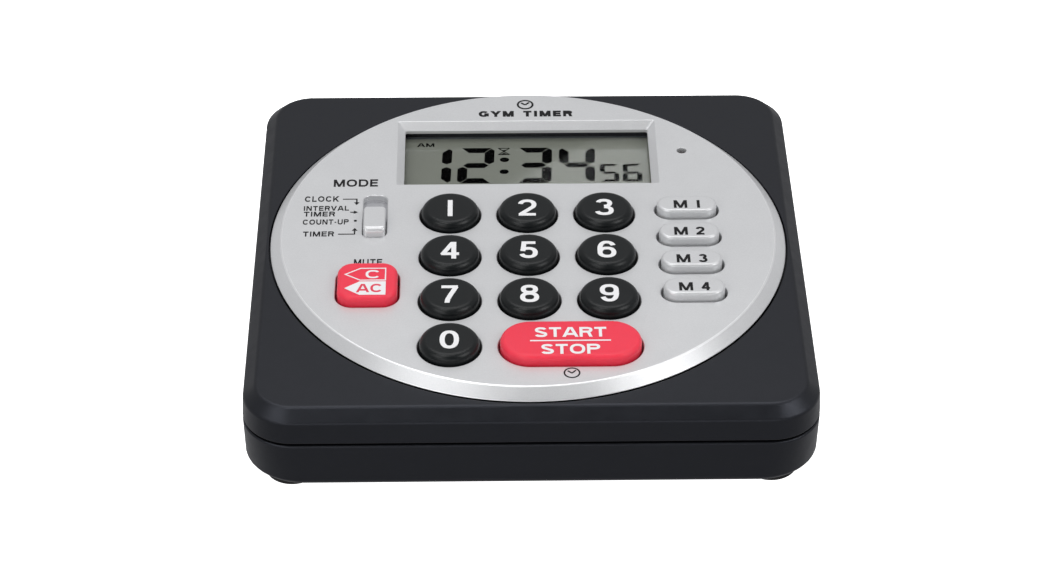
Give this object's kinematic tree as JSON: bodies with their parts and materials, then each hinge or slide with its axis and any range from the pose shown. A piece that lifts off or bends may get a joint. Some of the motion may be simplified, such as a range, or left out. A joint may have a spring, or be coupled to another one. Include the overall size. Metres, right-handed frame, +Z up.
{
  "type": "round timer",
  "caption": "Square desk round timer for training: black case, round silver face, digital display, number keypad, red start key and a mode slide switch.",
  "frame": {"origin": "centre of the square case's outline, on the plane that the four feet rest on", "axes": "+Z up out of the face, +X to the user's right, +Y away from the user, towards the display"},
  "size_m": [0.1084, 0.1084, 0.0224],
  "materials": {
    "black_case": "fine matt texture",
    "silver_paint": "satin metallic paint",
    "black_key": "soft satin",
    "red_key": "soft satin",
    "silver_key": "satin metallic paint",
    "clear_plastic": "polished, clear",
    "display_glass": "grey-green reflective display",
    "grey_plastic": "moulded",
    "board_green": "solder mask",
    "black_resin": "moulded resin",
    "silicone": "matt silicone",
    "black_rubber": "matt rubber",
    "bright_metal": "nickel plated",
    "flex_film": "printed film",
    "red_wire": "wire sleeve",
    "black_wire": "wire sleeve",
    "lamp_lens": "clear red resin",
    "cell_wrap": "printed cell label"
  },
  "bodies": {
    "housing": {"top_housing": "black_case", "bottom_housing": "black_case", "face_plate": "silver_paint", "display_lens": "clear_plastic", "lcd_panel": "display_glass", "alarm_led": "lamp_lens", "foot_front_left": "black_rubber", "foot_front_right": "black_rubber", "foot_back_left": "black_rubber", "foot_back_right": "black_rubber", "lcd_frame": "grey_plastic", "lcd_ribbon": "flex_film", "main_board": "board_green", "chip_cover": "black_resin", "buzzer": "black_resin", "crystal_can": "bright_metal", "switch_base": "bright_metal", "keypad_mat": "silicone", "buzzer_lead_1": "red_wire", "battery_lead_plus": "red_wire", "buzzer_lead_2": "black_wire", "battery_lead_minus": "black_wire", "battery_front": "cell_wrap", "battery_back": "cell_wrap", "contact_bridge": "bright_metal", "contact_plus": "bright_metal", "contact_minus": "bright_metal", "spring_front": "bright_metal", "spring_back": "bright_metal", "case_screw_1": "bright_metal", "case_screw_2": "bright_metal", "case_screw_3": "bright_metal", "case_screw_4": "bright_metal", "board_screw_1": "bright_metal", "board_screw_2": "bright_metal", "board_screw_3": "bright_metal", "board_screw_4": "bright_metal"},
    "digit_key_0_body": {"digit_key_0": "black_key"},
    "digit_key_1_body": {"digit_key_1": "black_key"},
    "digit_key_2_body": {"digit_key_2": "black_key"},
    "digit_key_3_body": {"digit_key_3": "black_key"},
    "digit_key_4_body": {"digit_key_4": "black_key"},
    "digit_key_5_body": {"digit_key_5": "black_key"},
    "digit_key_6_body": {"digit_key_6": "black_key"},
    "digit_key_7_body": {"digit_key_7": "black_key"},
    "digit_key_8_body": {"digit_key_8": "black_key"},
    "digit_key_9_body": {"digit_key_9": "black_key"},
    "start_stop_key_body": {"start_stop_key": "red_key"},
    "clear_key_body": {"clear_key": "red_key"},
    "memory_key_1_body": {"memory_key_1": "silver_key"},
    "memory_key_2_body": {"memory_key_2": "silver_key"},
    "memory_key_3_body": {"memory_key_3": "silver_key"},
    "memory_key_4_body": {"memory_key_4": "silver_key"},
    "mode_slider": {"mode_knob": "silver_key", "switch_lever": "black_key"},
    "battery_door_body": {"battery_door": "black_case"}
  },
  "joints": [
    {"name": "digit_key_0_press", "type": "slide", "parent": "housing", "child": "digit_key_0_body", "axis": [0, 0, -1], "range_m": [0, 0.0011], "stiffness_N_per_m": 150, "springref_m": -0.003, "deforming": ["keypad_mat"]},
    {"name": "digit_key_1_press", "type": "slide", "parent": "housing", "child": "digit_key_1_body", "axis": [0, 0, -1], "range_m": [0, 0.0011], "stiffness_N_per_m": 150, "springref_m": -0.003, "deforming": ["keypad_mat"]},
    {"name": "digit_key_2_press", "type": "slide", "parent": "housing", "child": "digit_key_2_body", "axis": [0, 0, -1], "range_m": [0, 0.0011], "stiffness_N_per_m": 150, "springref_m": -0.003, "deforming": ["keypad_mat"]},
    {"name": "digit_key_3_press", "type": "slide", "parent": "housing", "child": "digit_key_3_body", "axis": [0, 0, -1], "range_m": [0, 0.0011], "stiffness_N_per_m": 150, "springref_m": -0.003, "deforming": ["keypad_mat"]},
    {"name": "digit_key_4_press", "type": "slide", "parent": "housing", "child": "digit_key_4_body", "axis": [0, 0, -1], "range_m": [0, 0.0011], "stiffness_N_per_m": 150, "springref_m": -0.003, "deforming": ["keypad_mat"]},
    {"name": "digit_key_5_press", "type": "slide", "parent": "housing", "child": "digit_key_5_body", "axis": [0, 0, -1], "range_m": [0, 0.0011], "stiffness_N_per_m": 150, "springref_m": -0.003, "deforming": ["keypad_mat"]},
    {"name": "digit_key_6_press", "type": "slide", "parent": "housing", "child": "digit_key_6_body", "axis": [0, 0, -1], "range_m": [0, 0.0011], "stiffness_N_per_m": 150, "springref_m": -0.003, "deforming": ["keypad_mat"]},
    {"name": "digit_key_7_press", "type": "slide", "parent": "housing", "child": "digit_key_7_body", "axis": [0, 0, -1], "range_m": [0, 0.0011], "stiffness_N_per_m": 150, "springref_m": -0.003, "deforming": ["keypad_mat"]},
    {"name": "digit_key_8_press", "type": "slide", "parent": "housing", "child": "digit_key_8_body", "axis": [0, 0, -1], "range_m": [0, 0.0011], "stiffness_N_per_m": 150, "springref_m": -0.003, "deforming": ["keypad_mat"]},
    {"name": "digit_key_9_press", "type": "slide", "parent": "housing", "child": "digit_key_9_body", "axis": [0, 0, -1], "range_m": [0, 0.0011], "stiffness_N_per_m": 150, "springref_m": -0.003, "deforming": ["keypad_mat"]},
    {"name": "start_stop_key_press", "type": "slide", "parent": "housing", "child": "start_stop_key_body", "axis": [0, 0, -1], "range_m": [0, 0.0011], "stiffness_N_per_m": 150, "springref_m": -0.003, "deforming": ["keypad_mat"]},
    {"name": "clear_key_press", "type": "slide", "parent": "housing", "child": "clear_key_body", "axis": [0, 0, -1], "range_m": [0, 0.0011], "stiffness_N_per_m": 150, "springref_m": -0.003, "deforming": ["keypad_mat"]},
    {"name": "memory_key_1_press", "type": "slide", "parent": "housing", "child": "memory_key_1_body", "axis": [0, 0, -1], "range_m": [0, 0.0011], "stiffness_N_per_m": 150, "springref_m": -0.003, "deforming": ["keypad_mat"]},
    {"name": "memory_key_2_press", "type": "slide", "parent": "housing", "child": "memory_key_2_body", "axis": [0, 0, -1], "range_m": [0, 0.0011], "stiffness_N_per_m": 150, "springref_m": -0.003, "deforming": ["keypad_mat"]},
    {"name": "memory_key_3_press", "type": "slide", "parent": "housing", "child": "memory_key_3_body", "axis": [0, 0, -1], "range_m": [0, 0.0011], "stiffness_N_per_m": 150, "springref_m": -0.003, "deforming": ["keypad_mat"]},
    {"name": "memory_key_4_press", "type": "slide", "parent": "housing", "child": "memory_key_4_body", "axis": [0, 0, -1], "range_m": [0, 0.0011], "stiffness_N_per_m": 150, "springref_m": -0.003, "deforming": ["keypad_mat"]},
    {"name": "mode_slide", "type": "slide", "parent": "housing", "child": "mode_slider", "axis": [0, 1, 0], "range_m": [0, 0.006]},
    {"name": "battery_door_swing", "type": "hinge", "parent": "housing", "child": "battery_door_body", "pos_m": [0, 0.0389, 0.0015], "axis": [1, 0, 0], "range_deg": [0, 100]}
  ]
}
